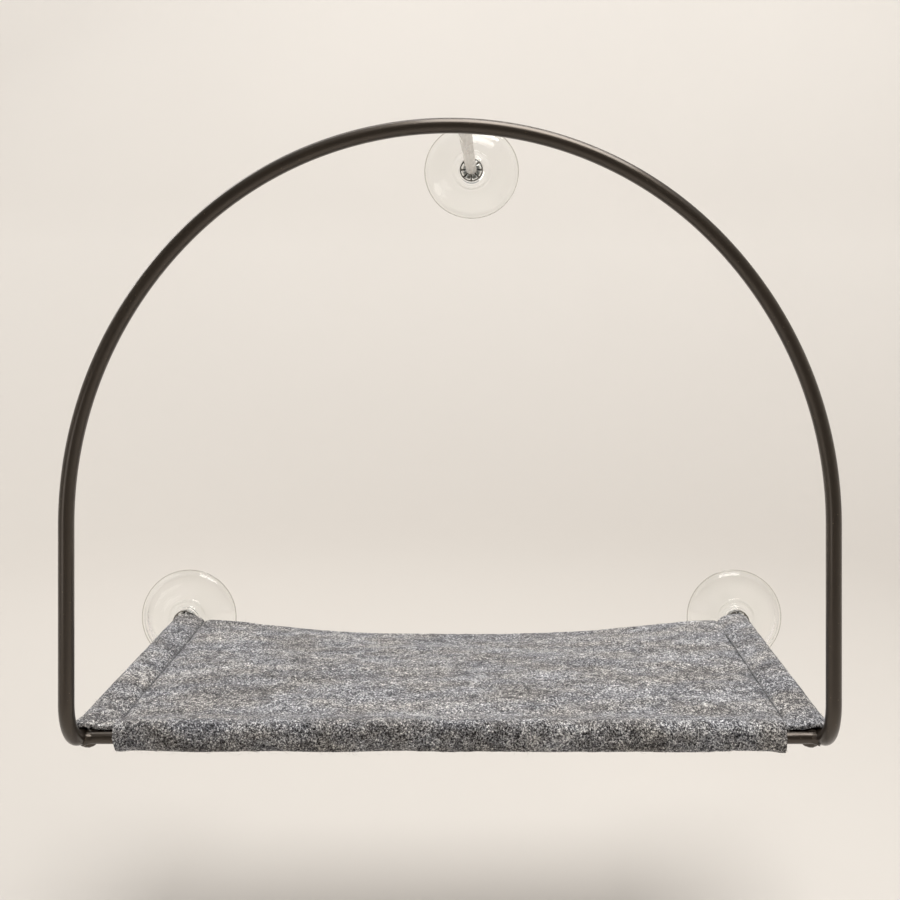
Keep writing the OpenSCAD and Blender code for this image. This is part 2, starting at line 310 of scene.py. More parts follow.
bar_low, bar_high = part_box("front_bar")
bar_r = (bar_high.z - bar_low.z) / 2
bar_y = [middle("front_bar").y, middle("inner_bar").y]


# ---------------------------------------------------------------- welds
# MIG welds in the same steel: a rippled bead under each pair of bar ends, a smaller one on top,
# a fillet round every bar end, and a short ring round the foot of the crown's stud.
def weld_run(middle_point, length, thick, ripples, seed):
    """A bead along X, thickest in its middle, with the ripples that the torch leaves."""
    rings = []
    for t in np.linspace(0, 1, 49):
        x = (t - 0.5) * length
        body = math.sin(math.pi * min(max(t, 0.01), 0.99)) ** 0.55
        wave = 1 + 0.02 * math.cos(2 * math.pi * ripples * t) + 0.06 * noise.noise((t * 4, seed, 0))
        ring = hoop((x, 0, 0), (0, 0, 1), (1, 0, 0), thick * body * wave, 28)
        lean = 0.12 * thick * noise.noise((t * 3, 7.0, seed))
        rings.append(ring + np.array(middle_point) + (0, lean, 0))
    return loft(rings)


def fillet(side, y):
    """The weld that runs out from the wire on to the end of a bar."""
    rings = []
    for reach, grown in ((0.0036, -0.0001), (0.0030, 0.0001), (0.0022, 0.0004), (0.0014, 0.0009),
                         (0.0007, 0.0015), (0.0001, 0.0022), (-0.0008, 0.0024)):
        turns = np.linspace(0, 2 * math.pi, 48, endpoint=False)
        radius = (bar_r + grown) * (1 + 0.025 * np.sin(9 * turns + y * 900 + side))
        z = np.clip(radius * np.sin(turns), -0.74 * wire_r, 0.74 * wire_r)
        skin_x = np.sqrt(wire_r ** 2 - z ** 2)
        rings.append(np.stack([side * (rail_x - skin_x - reach), y + radius * np.cos(turns), z], 1))
    return loft(rings)


bead_y = sum(bar_y) / 2
weld_parts = []
for side in (-1, 1):
    weld_parts.append(weld_run((side * (rail_x - wire_r) - 0.0015, bead_y, -bar_r - 0.0006),
                               0.0125, 0.0034, 5, side))
    weld_parts.append(weld_run((side * (rail_x - wire_r - 0.0005), bead_y, bar_r - 0.0012), 0.009,
                               0.0024, 4, side + 4))
    weld_parts += [fillet(side, y) for y in bar_y]
tie_at = middle("tie_tube")
stud_foot = arch_y + wire_r
weld_parts.append(loft([
    hoop((tie_at.x, stud_foot - 0.002 + step, tie_at.z), (0, 0, 1), (0, 1, 0), radius, 40)
    for step, radius in ((0, 0.0040), (0.0008, 0.0039), (0.0014, 0.0034), (0.0019, 0.0030),
                         (0.0020, 0.0026))]))
piece("welds", together(weld_parts), powder_coat, "frame", ["weld_beads"])


# ---------------------------------------------------------------- crown stud
# A zinc-plated M5 stud welded to the back of the crown, on which the tie turns. Like the cups'
# studs it has a rolled thread, with flat crests and roots.
stud_r = 0.0025
pitch = 0.0008


def threaded(x, z, y_from, y_to, sides=36, per_pitch=8):
    """A threaded stud along Y, with a small chamfer on each end."""
    count = int((y_to - y_from) / pitch * per_pitch)
    turns = np.arange(sides) / sides
    rings = []
    for k in range(count + 1):
        y = y_from + (y_to - y_from) * k / count
        ramp = np.abs((y / pitch - turns) % 1 - 0.5) * 2
        depth = 0.00049 * np.clip(1.35 * ramp - 0.17, 0, 1)
        end = min(y - y_from, y_to - y, 0.0005)
        radius = np.minimum(stud_r - depth, stud_r - 0.0005 + end)
        rings.append(np.stack([x + radius * np.cos(2 * math.pi * turns), np.full(sides, y),
                               z + radius * np.sin(2 * math.pi * turns)], 1))
    return loft(rings)


zinc = Finish("zinc plating", {"Metallic": 1.0, "Specular IOR Level": 0.5})
dull = zinc.ramp(zinc.grain(0.002, 3.0), 0.35, 0.7)
zinc.varies(
    Base_Color=zinc.mix(dull, rgb(236, 238, 240), rgb(206, 208, 206)),
    Roughness=0.32 + 0.18 * dull,
    Normal=zinc.relief(zinc.grain(0.0002, 1.0, stretch=(1, 6, 1)), 0.00001, 0.5))
crown_low, crown_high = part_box("crown_stud")
piece("crown_thread", threaded(tie_at.x, tie_at.z, crown_low.y, crown_high.y), zinc, "frame",
      ["crown_stud"])


# ---------------------------------------------------------------- felt sling
# One piece of 3 mm needled felt. Each side is turned round a rail and sewn to itself, the front
# is wrapped round the two cross bars and closed underneath, and the rear edge hangs free.
felt_r = 0.0015
slack = 0.0003
pocket_r = wire_r + slack + felt_r
layer_z = 0.0016
seam_x = rail_x - 0.019
lap_w = 0.005
wrap_x = seam_x - 0.006
seat_lift = 0.0049
sag = 0.0157
flat_x = wrap_x - 0.040
pocket_y = bar_y[1] + bar_r + 0.001
front_from_y = -0.262
seat_from_y = -0.246
flat_to_y = -0.225
felt_end_y = rail_end - 0.004
crest_z = 0.0095
over_bar_z = bar_r + slack + felt_r
wrap_start_z = crest_z - 0.0012
cell = 0.0021


def smooth(value, low, high):
    """0 below low and 1 above high, easing in and out."""
    t = np.clip((value - low) / (high - low), 0, 1)
    return t * t * (3 - 2 * t)


def evenly(points, step):
    """A polyline cut again into equal steps of about that length."""
    points = np.asarray(points, float)
    along = np.concatenate([[0], np.cumsum(np.linalg.norm(np.diff(points, axis=0), axis=1))])
    places = np.linspace(0, along[-1], max(2, round(along[-1] / step)) + 1)
    return np.stack([np.interp(places, along, points[:, k]) for k in range(points.shape[1])], 1)


def arc(centre, radius, start, stop):
    """Points along an arc from start to stop, in degrees."""
    turns = np.radians(np.linspace(start, stop, 40))[:, None]
    return np.array(centre) + radius * np.hstack([np.cos(turns), np.sin(turns)])


def gentle(x, y, size, seed):
    """Slow noise over a grid, from about -1 to 1."""
    out = [noise.noise((a / size, b / size, seed)) for a, b in zip(x.ravel(), y.ravel())]
    return 1.6 * np.array(out).reshape(x.shape)


# Across: a pocket from its seam over the rail and round to the lap's free edge.
reach = math.hypot(rail_x - seam_x, layer_z)
tangent = 180 - math.degrees(math.atan2(layer_z, rail_x - seam_x) + math.acos(pocket_r / reach))
dome_z = pocket_r + 0.0009
start, bulge, crown, summit = (np.array(p) for p in (
    (seam_x, layer_z), (seam_x + 0.0045, 0.0062), (rail_x - 0.007, dome_z), (rail_x + 0.0004, dome_z)))
dome = [(1 - t) ** 3 * start + 3 * t * (1 - t) ** 2 * bulge + 3 * t * t * (1 - t) * crown
        + t ** 3 * summit for t in np.linspace(0, 1, 30)]
shoulder = arc((0, 0), 1, 88, 0) * (pocket_r - 0.0004, dome_z) + (rail_x + 0.0004, 0)
pocket = evenly(np.vstack([dome, shoulder, arc((rail_x, 0), pocket_r, -2, -tangent),
                           [(seam_x, -layer_z), (seam_x - lap_w, -layer_z)]]), 0.0014)[1:]
pocket_n = len(pocket)
seat_x = np.concatenate([[-seam_x, -(seam_x + wrap_x) / 2],
                         np.linspace(-wrap_x, wrap_x, round(2 * wrap_x / cell) + 1),
                         [(seam_x + wrap_x) / 2, seam_x]])
over = np.concatenate([-pocket[::-1, 0], seat_x, pocket[:, 0]])
over_z = np.concatenate([pocket[::-1, 1], np.zeros(len(seat_x)), pocket[:, 1]])
columns = len(over)
is_seat = np.zeros(columns, bool)
is_seat[pocket_n:columns - pocket_n] = True
is_wrap = is_seat & (np.abs(over) < wrap_x + 1e-6)
# How far round its rail a pocket's column is: 0 at the seam on top, 1 at the lap.
round_rail = np.where(is_seat, 0, np.minimum(1, np.concatenate([
    np.arange(pocket_n, 0, -1), np.zeros(len(seat_x)), np.arange(1, pocket_n + 1)]) / pocket_n))

# Along: the front wrap from its tail under the seat, round the bars and up to the seat.
under_z = -bar_r - slack - felt_r - 0.0013
front_y = bar_y[0] - bar_r - slack - felt_r
wrap_r = 0.0052
tail_y = pocket_y + 0.010
tail_z = seat_lift - 2 * felt_r - 0.003
wrap = evenly(np.vstack([
    [(tail_y + 0.022, tail_z), (tail_y, tail_z), (tail_y - 0.002, tail_z - 0.0005),
     (bar_y[1] + bar_r + 0.001, under_z + 0.0004), (bar_y[1], under_z)],
    arc((front_y + wrap_r, under_z + wrap_r), wrap_r, 270, 180),
    arc((front_y + wrap_r, crest_z - wrap_r), wrap_r, 180, 90),
    [(bar_y[0] + bar_r, crest_z - 0.0001), (bar_y[1], wrap_start_z)]]), 0.0013)[:-1]
wrap_n = len(wrap)
front_rows = 9
seat_rows = round((felt_end_y - seat_from_y) / cell)
rows = wrap_n + front_rows + seat_rows + 1

# The pockets' top layer reaches forward over the inner bar, and the under layer stops behind it.
top_share = 0.42
over_front = np.where(is_wrap, bar_y[1],
                      bar_y[1] - 0.0068 + 0.012 * smooth(round_rail, top_share, 0.8))
y = np.zeros((rows, columns))
for k in range(front_rows):
    y[wrap_n + k] = over_front + (seat_from_y - over_front) * k / front_rows
for k in range(seat_rows + 1):
    y[wrap_n + front_rows + k] = seat_from_y + (felt_end_y - seat_from_y) * k / seat_rows
x = np.tile(over, (rows, 1))
side_share = np.clip((np.abs(x) - flat_x) / (seam_x - flat_x), 0, 1)
back_share = np.clip((y - flat_to_y) / (felt_end_y - flat_to_y), 0, 1)
seat_z = (seat_lift - (seat_lift - layer_z) * side_share ** 2
          - sag * back_share ** 1.5 * np.clip(1 - (x / seam_x) ** 2, 0, 1))
z = np.where(is_seat, seat_z, np.tile(over_z, (rows, 1)))
inside = smooth(seam_x - np.abs(x), 0, 0.016)
hump = 1 - smooth(y, bar_y[1] - 0.001, seat_from_y - 0.0015)
z = np.where(is_seat, z + hump * inside * (wrap_start_z - seat_lift), z)
clear = 1 - smooth(y, pocket_y - 0.0005, seat_from_y - 0.0005)
z = np.where(round_rail < top_share, z + clear * np.maximum(over_bar_z + 0.0002 - z, 0), z)
z[:wrap_n] = wrap[:, 1:2]
y[:wrap_n] = wrap[:, 0:1]

# The seams pull the felt down a little, and the rest lies in slow waves.
seam_dip = 0.0014
seam_w = 0.0020
z -= seam_dip * np.exp(-((np.abs(x) - seam_x) / seam_w) ** 2) * (round_rail < 0.3) * (1 - clear)
free = np.where(is_seat, 1.0, 0.45) * smooth(y, front_from_y, -0.235)
z += free * (0.00045 * gentle(x * 0.45, y, 0.018, 3.1) + 0.0007 * gentle(x, y * 1.4, 0.055, 8.4))
front = np.zeros((rows, columns))
front[:wrap_n] = smooth(-y[:wrap_n], -front_from_y, 0.010 - front_from_y)
flow = gentle(x, z * 2, 0.045, 5.5)
low_edge = front * smooth(-z, 0.001, 0.006)
near_corner = smooth(np.abs(x), wrap_x - 0.010, wrap_x)
z += low_edge * 0.0007 * (flow - near_corner)
y -= front * 0.0005 * gentle(x, z * 3, 0.03, 1.7) + low_edge * 0.0004 * near_corner
y[-1] += 0.0004 * gentle(x[-1:], y[-1:], 0.02, 9.0)[0]
x[:wrap_n] -= 0.0018 * smooth(-x[:wrap_n], 0.19, wrap_x) * smooth(z[:wrap_n], -0.008, 0.003)
middle_skin = np.stack([x, y, z], 2)
there = np.ones((rows, columns), bool)
there[:wrap_n] = is_wrap


def step_along(axis):
    """The way to the next point along a row or a column, averaged over the neighbours there are."""
    total = np.zeros_like(middle_skin)
    for way in (1, -1):
        other = np.roll(middle_skin, -way, axis)
        near = np.roll(there, -way, axis)
        edge = [slice(None), slice(None)]
        edge[axis] = -1 if way == 1 else 0
        near[tuple(edge)] = False
        total += np.where((near & there)[..., None], (other - middle_skin) * way, 0)
    return total


normal = np.cross(step_along(1), step_along(0))
normal /= np.maximum(np.linalg.norm(normal, axis=2, keepdims=True), 1e-12)
has_cell = there[:-1, :-1] & there[1:, :-1] & there[:-1, 1:] & there[1:, 1:]
number = np.arange(rows * columns).reshape(rows, columns)
cells = np.stack([number[:-1, :-1], number[:-1, 1:], number[1:, 1:], number[1:, :-1]], 2)[has_cell]
edges = {}
for a, b, c, d in cells.tolist():
    for pair in ((a, b), (b, c), (c, d), (d, a)):
        if (pair[1], pair[0]) in edges:
            del edges[pair[1], pair[0]]
        else:
            edges[pair] = True
rim = sorted({v for pair in edges for v in pair})

flat_middle = middle_skin.reshape(-1, 3)
flat_normal = normal.reshape(-1, 3)
outward = np.zeros_like(flat_middle)
for a, b in edges:
    away = np.cross(flat_middle[b] - flat_middle[a], flat_normal[a])
    outward[a] += away
    outward[b] += away
outward /= np.maximum(np.linalg.norm(outward, axis=1, keepdims=True), 1e-12)


def tuft(points, size, seed):
    """The felt's own lumpiness, one value for each point."""
    return np.array([noise.noise(Vector((px / size, py / size, pz / size + seed)))
                     for px, py, pz in points.tolist()])


pressed_share = 0.86
half = np.full(len(flat_middle), felt_r)
half[rim] *= pressed_share
lumps = 0.00022 * tuft(flat_middle, 0.0047, 0.0) + 0.00013 * tuft(flat_middle, 0.0026, 40.0)
top = flat_middle + flat_normal * (half + lumps)[:, None]
low = flat_middle - flat_normal * (half + lumps[::-1] * 0.8)[:, None]
brow = flat_middle[rim] + outward[rim] * (0.0004 + 0.0003 * tuft(flat_middle[rim], 0.002, 9.0))[:, None]
used = np.unique(cells)
renumber = np.full(len(flat_middle), -1)
renumber[used] = np.arange(len(used))
brow_of = {v: 2 * len(used) + k for k, v in enumerate(rim)}
felt_faces = [tuple(f) for f in renumber[cells].tolist()]
felt_faces += [tuple(f[::-1]) for f in (renumber[cells] + len(used)).tolist()]
for a, b in edges:
    ta, tb = int(renumber[a]), int(renumber[b])
    felt_faces.append((tb, ta, brow_of[a], brow_of[b]))
    felt_faces.append((brow_of[b], brow_of[a], ta + len(used), tb + len(used)))
felt_points = np.vstack([top[used], low[used], brow])

felt = Finish("needled felt", {
    "Roughness": 0.95, "Specular IOR Level": 0.15, "Sheen Weight": 0.2, "Sheen Roughness": 0.5,
    "Sheen Tint": (0.9, 0.92, 1.0, 1.0)})


def curls(size, width, turn):
    """Thin curling lines, as of single fibres, where slow noise crosses its middle value."""
    wander = felt.grain(size, 1.2, turn, (1.15, 1.8, 1.1), 0.5)
    return felt.ramp(abs(wander - 0.5), width, width * 0.25)


light_fibre = curls(0.0023, 0.06, (0.3, 0.2, 0.1)).above(curls(0.0017, 0.05, (0.2, 0.4, -0.3)))
dark_fibre = curls(0.0021, 0.06, (-0.3, 0.3, 0.25)).above(curls(0.0015, 0.05, (0.1, -0.3, -0.15)))
flock = felt.grain(0.0012, 2.0, (0, 0.2, 0.2), (1.1, 1.7, 1), 0.65)
patch = felt.grain(0.0065, 3.0, (0, 0.1, 0.1), (1.3, 1.3, 1), 0.6)
streak = felt.grain(0.022, 3.0, (0, 0, 0.02), (3.5, 1, 1), 0.55)
tone = (0.45 + 0.43 * light_fibre - 0.43 * dark_fibre + 1.45 * (flock - 0.5)
        + 0.8 * (patch - 0.5) + 0.6 * (streak - 0.5))
hue = felt.ramp(felt.grain(0.028, 5.0, (0, 0, 0), (1.8, 1, 1), 0.62), 0.40, 0.60)
cool = felt.node("ShaderNodeValToRGB", {"stops": [
    (0.0, rgb(30, 30, 33)[:3]), (0.4, rgb(106, 106, 110)[:3]), (0.65, rgb(156, 157, 161)[:3]),
    (1.0, rgb(246, 246, 248)[:3])]}, {"Fac": tone})
warm = felt.node("ShaderNodeValToRGB", {"stops": [
    (0.0, rgb(30, 27, 25)[:3]), (0.4, rgb(106, 103, 101)[:3]), (0.65, rgb(156, 153, 150)[:3]),
    (1.0, rgb(246, 242, 237)[:3])]}, {"Fac": tone})
felt.varies(
    Base_Color=felt.mix(hue, cool, warm),
    Normal=felt.relief(0.8 * flock + 0.6 * light_fibre - 0.5 * dark_fibre, 0.0007, 0.85))
sling = piece("felt_cloth", (felt_points, felt_faces), felt, "frame", ["felt_sling"], 60)


# ---------------------------------------------------------------- stray fibres
# Hairs that have worked loose from the felt: short ones all over, longer ones along the cut
# edges and the front, each a tapering curl with its root in the cloth.
draw = np.random.default_rng(12)
fibre_count = 5000
fibre_cuts = 6
fibre_sides = 3
is_front = (flat_middle[used][:, 1] < front_from_y).astype(float)
on_rim = np.isin(used, rim).astype(float)
chance = 1 + 3 * is_front + 14 * on_rim
roots = draw.choice(len(used), fibre_count, p=chance / chance.sum())
fibre_rings = []
for k in roots.tolist():
    v = used[k]
    up = flat_normal[v] if draw.random() < 0.8 else -flat_normal[v]
    base = flat_middle[v] + up * 0.0012
    if on_rim[k]:
        base = flat_middle[v] + up * 0.001 * draw.uniform(-1, 1)
        up = outward[v] + up * draw.uniform(-0.6, 0.6)
    lean = draw.normal(0, 1, 3) * (1.5, 0.9, 0.9)
    lean -= up * (lean @ up)
    lean /= np.linalg.norm(lean)
    curl = np.cross(up, lean)
    length = draw.gamma(3.2, 0.00085)
    rise = draw.uniform(0.12, 0.55)
    bend = draw.uniform(-0.9, 0.9)
    thick = draw.uniform(0.00004, 0.00008)
    for t in np.linspace(0, 1, fibre_cuts):
        centre = base + length * (lean * t + up * rise * math.sin(2.4 * t)
                                  + curl * bend * t * t)
        turns = np.linspace(0, 2 * math.pi, fibre_sides, endpoint=False)[:, None]
        size = thick * (1.05 - t * 0.8)
        fibre_rings.append(centre + size * (np.cos(turns) * up + np.sin(turns) * curl))
fibre_rings = np.array(fibre_rings).reshape(fibre_count, fibre_cuts, fibre_sides, 3)
fuzz = Finish("loose fibre", {"Roughness": 0.7, "Specular IOR Level": 0.3})
fuzz_tone = fuzz.ramp(fuzz.grain(0.004, 2.0), 0.40, 0.60)
fuzz.varies(Base_Color=fuzz.mix(fuzz_tone, rgb(96, 92, 90), rgb(206, 204, 200)))
fluff = piece("loose_fibres", together([loft(rings) for rings in fibre_rings]), fuzz, "frame")

# On the bake map each fibre has a cell of its own in a square grid.
fibre_points = fibre_cuts * fibre_sides + 2
across = math.ceil(math.sqrt(fibre_count))
at_point = np.empty(len(fluff.data.loops), int)
fluff.data.loops.foreach_get("vertex_index", at_point)
at_fibre = at_point // fibre_points
corners = np.stack([at_fibre % across, at_fibre // across], 1)
spread = np.stack([at_point % fibre_points / fibre_points,
                   at_point % fibre_sides / fibre_sides], 1) * 0.8 + 0.1
bake_map = fluff.data.uv_layers.new(name="OFBake")
bake_map.uv.foreach_set("vector", ((corners + spread) / across).ravel())

# The flat cloth: its rear edge's length, its middle's length and the skin's area.
width = np.linalg.norm(np.diff(middle_skin[-1], axis=0), axis=1).sum()
length = np.linalg.norm(np.diff(middle_skin[:, columns // 2], axis=0), axis=1).sum()
corner = flat_middle[cells]
area = 0.5 * np.linalg.norm(np.cross(corner[:, 2] - corner[:, 0], corner[:, 3] - corner[:, 1]),
                            axis=1).sum()
min(area, width * length)


# ---------------------------------------------------------------- seam stitches
# A lockstitch in grey polyester thread, about 4 mm long, holds each pocket shut. The twist of
# the thread shows on its surface, and every stitch dips into the felt at its ends.
def stitch(side, y, length):
    """One stitch along a seam, a little askew."""
    askew = side * 0.0002 * noise.noise((y * 300, side, 2.0))
    rings = []
    for t in np.linspace(-1, 1, 13):
        centre = (side * seam_x + askew * t, y + length * 0.5 * t, 0.00285 - 0.0011 * t ** 4)
        radius = 0.00042 * (1 - 0.35 * t ** 6)
        rings.append(hoop(centre, (0, 0, 1), (0, 1, 0), radius, 10))
    return loft(rings)


thread = Finish("sewing thread", {"Roughness": 0.6, "Sheen Weight": 0.3})
twist = thread.node("ShaderNodeTexWave", {"bands_direction": "DIAGONAL"}, {
    "Vector": thread.place(), "Scale": 900.0, "Distortion": 1.0})
thread.varies(
    Base_Color=thread.mix(0.35 * twist + 0.4 * thread.grain(0.01, 3.0), rgb(82, 82, 86),
                          rgb(128, 127, 129)),
    Normal=thread.relief(twist, 0.0001, 0.6))
stitch_l = 0.0042
for name, side in (("left_thread", -1), ("right_thread", 1)):
    thread_low, thread_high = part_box(name)
    stitches = int((thread_high.y - thread_low.y) / stitch_l)
    step = (thread_high.y - thread_low.y) / stitches
    piece(name.replace("thread", "stitches"), together([
        stitch(side, thread_low.y + step * (k + 0.5), step * 0.86) for k in range(stitches)]),
        thread, "frame", [name])


# ---------------------------------------------------------------- closing tapes
# Hook and loop tapes sewn under the seat and on the tail. They are woven nylon with a dense
# pile, and the two piles grip each other between the layers of felt.
def tape_strip(node):
    """A strip with rounded edges and a slightly wavy pile."""
    low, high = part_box(node)
    half_w = (high.y - low.y) / 2
    half_h = (high.z - low.z) / 2
    turns = np.linspace(0, 2 * math.pi, 40, endpoint=False)
    c, s = np.cos(turns), np.sin(turns)
    rings = []
    for x in np.linspace(low.x, high.x, 181):
        wave = 0.00012 * noise.noise((x * 120, half_h, 0.5))
        rings.append(np.stack([
            np.full(len(turns), x),
            (low.y + high.y) / 2 + half_w * np.abs(c) ** 0.25 * np.where(c > 0, 1, -1),
            (low.z + high.z) / 2 + (half_h * np.abs(s) ** 0.35 - wave) * np.where(s > 0, 1, -1)], 1))
    return loft(rings)


tape = Finish("woven nylon", {"Roughness": 0.8, "Sheen Weight": 0.2})
weave = tape.node("ShaderNodeTexVoronoi", {}, {"Vector": tape.place((0, 0, 0), (1.3, 1, 1)),
                                               "Scale": 1400.0}, "Distance")
tape.varies(
    Base_Color=tape.mix(0.6 * weave + 0.5 * tape.grain(0.004, 3.0), rgb(112, 112, 116),
                        rgb(70, 70, 74)),
    Normal=tape.relief(weave, 0.0002, 0.7))
for name in ("loop_strip", "hook_strip"):
    piece(name.replace("strip", "tape"), tape_strip(name), tape, "frame", [name])


# ---------------------------------------------------------------- top tie
# A milky polypropylene tube, cut square, that screws on to the crown's stud at one end and on
# to the top cup's stud at the other. A faint parting groove runs along it.
def turned(profile, axis, sides):
    """A skin turned about a line along Y, from places along Y and radii."""
    return loft([hoop((axis.x, y, axis.z), (1, 0, 0), (0, 1, 0), radius, sides)
                 for y, radius in profile])


tie_low, tie_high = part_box("tie_tube")
tie_r = (tie_high.x - tie_low.x) / 2
crown_hole = 0.0170
tube = [(tie_low.y + crown_hole, 0.0003), (tie_low.y + crown_hole, hole_r), (tie_low.y, hole_r),
        (tie_low.y, tie_r - 0.0004), (tie_low.y + 0.0004, tie_r)]
tube += [(y, tie_r + 0.00004 * noise.noise((y * 60, 3, 1)))
         for y in np.linspace(tie_low.y + 0.004, tie_high.y - 0.004, 90)]
tube += [(tie_high.y - 0.0004, tie_r), (tie_high.y, tie_r - 0.0004), (tie_high.y, hole_r),
         (tie_high.y - hole_depth, hole_r), (tie_high.y - hole_depth, 0.0003)]
tube_points, tube_faces = turned(tube, tie_at, 72)
around = np.arctan2(tube_points[:, 2] - tie_at.z, tube_points[:, 0] - tie_at.x)
groove_depth = 0.0003
is_outside = np.hypot(tube_points[:, 0] - tie_at.x, tube_points[:, 2] - tie_at.z) > tie_r * 0.9
groove = groove_depth * is_outside * np.exp(-(np.sin(around + 1.75) / 0.09) ** 2)
tube_points[:, [0, 2]] -= groove[:, None] * np.stack([np.cos(around), np.sin(around)], 1)
milky = Finish("milky polypropylene", {
    "IOR": 1.49, "Transmission Weight": 0.0, "Subsurface Weight": 0.3,
    "Subsurface Radius": (0.01, 0.009, 0.008), "Subsurface Scale": 0.5})
haze = milky.ramp(milky.grain(0.012, 3.0, (0, 0, 0), (1, 5, 1)), 0.35, 0.65)
milky.varies(
    Base_Color=milky.mix(haze, rgb(206, 202, 196), rgb(226, 223, 218)),
    Roughness=0.2 + 0.14 * haze,
    Normal=milky.relief(milky.grain(0.003, 2.0, (0, 0, 0), (1, 8, 1)), 0.00001, 0.3))
piece("tie", (tube_points, tube_faces), milky, "tie", ["tie_tube"])


# ---------------------------------------------------------------- suction cups
# Injection-moulded clear soft PVC. Each cup's skirt rises from a thin lip to a ridge round the
# boss, and a zinc-plated stud with a disc at its foot is moulded into the boss.
pvc = Finish("clear PVC", {"IOR": 1.5, "Transmission Weight": 1.0, "Specular IOR Level": 0.6})
flow_mark = pvc.grain(0.006, 2.0)
cup_low, cup_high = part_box("right_cup")
cup_r = (cup_high.x - cup_low.x) / 2
cup_h = -cup_low.y
# The distance to the nearest cup's middle marks a thin ring just inside each rim, painted a darker grey
# below: painted shade for the dark line that refraction shows at the lip.
on_pane = pvc.node("ShaderNodeVectorMath", {"operation": "MULTIPLY"},
                   {0: pvc.place(), 1: (1, 0, 1)})
from_left, from_right, from_top = [
    pvc.node("ShaderNodeVectorMath", {"operation": "DISTANCE"},
             {0: on_pane, 1: middle(f"{place}_cup") * Vector((1, 0, 1))}, 1)
    for place in ("left", "right", "top")]
nearest = from_top.below(from_left.below(from_right))
clear_pvc = pvc.mix(pvc.ramp(pvc.grain(0.02, 2.0), 0.3, 0.7), rgb(255, 255, 254),
                    rgb(252, 253, 251))
pvc.varies(
    Base_Color=pvc.mix(pvc.ramp(nearest, cup_r - 0.0010, cup_r - 0.0006), clear_pvc,
                       rgb(204, 202, 196)),
    Roughness=0.02 + 0.05 * pvc.ramp(pvc.grain(0.003, 3.0), 0.55, 0.8),
    Normal=pvc.relief(flow_mark + 0.4 * pvc.grain(0.0018, 2.0), 0.00012, 0.5))
lip = 0.0012
ridge_at = 0.0185
boss_r = 0.011
skirt_top = cup_h - 0.0034
hollow_h = 0.0054
hollow_from_r = 0.015
seal_r = cup_r - 0.0018


def cup_profile():
    """Height over the pane and radius, from the middle of the hollow out and back to the boss."""
    for share in np.linspace(0, 1, 40):
        yield hollow_h * (1 - share ** 3), hollow_from_r + (seal_r - hollow_from_r) * share
    for h, inset in ((0.0, 0.0003), (0.0001, 0.0001), (0.0003, 0.0), (0.0008, 0.0), (0.0010, 0.0001),
                     (lip, 0.0004)):
        yield h, cup_r - inset
    for r in np.linspace(cup_r - 0.0007, ridge_at, 46):
        s = (cup_r - r) / (cup_r - ridge_at)
        ripple = 0.00005 * math.cos(r * 4200) * smooth(s, 0.1, 0.5)
        yield lip + (skirt_top - lip) * (1 - math.cos(math.pi * s)) / 2 + ripple, r
    for h, r in ((0.0005, 0.0181), (0.0007, 0.0176), (0.0006, 0.0171), (0.0001, 0.0165),
                 (-0.0006, 0.0158), (-0.0009, 0.0150), (-0.0007, 0.0142), (-0.0002, 0.0137),
                 (0.0000, 0.0133), (-0.0003, 0.0129), (-0.0001, 0.0124),
                 (0.0006, 0.0118), (0.0011, 0.0114), (0.0018, 0.01115)):
        yield skirt_top + h, r
    yield cup_h - 0.0009, boss_r
    yield cup_h - 0.0004, boss_r - 0.0002
    yield cup_h - 0.0001, boss_r - 0.0005
    yield cup_h, boss_r - 0.0009
    yield cup_h, 0.004


# The lock nuts are clear nylon with eight petals cored 3 mm deep. The nut's front face and the webs
# between
# the petals are painted dark: painted shade for the light that enters their edges and leaves sideways.
nut_low, nut_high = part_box("top_lock_nut")
nut_r = (nut_high.x - nut_low.x) / 2
petals = 8
petal_depth = 0.003


def lock_nut(axis):
    """A nut with rounded edges whose front is cored out petal by petal, as one closed ring."""
    sides = 240
    turns = np.linspace(0, 2 * math.pi, sides, endpoint=False)
    edge = 0.0006
    outline = [(nut_high.y, 0.0026), (nut_high.y, nut_r - edge), (nut_high.y - edge / 3, nut_r - edge / 3),
               (nut_high.y - edge, nut_r), (nut_low.y + edge, nut_r),
               (nut_low.y + edge / 3, nut_r - edge / 3)]
    rings = [(np.full(sides, y), radius) for y, radius in outline]
    for radius in np.linspace(nut_r - edge, 0.0045, 26):
        half_width = 0.78 * radius * math.sin(math.pi / petals)
        away = np.abs((turns * petals / (2 * math.pi)) % 1 - 0.5) * 2 * math.pi / petals * radius
        side_wall = smooth(half_width - away, 0, 0.0004)
        ends = smooth(nut_r - 0.0008 - radius, 0, 0.0005) * smooth(radius, 0.0046, 0.0054)
        rings.append((nut_low.y + petal_depth * side_wall * ends, radius))
    rings.append((np.full(sides, nut_low.y), 0.0026))
    return loft([np.stack([axis.x + radius * np.cos(turns), y, axis.z + radius * np.sin(turns)], 1)
                 for y, radius in rings], joined=True)


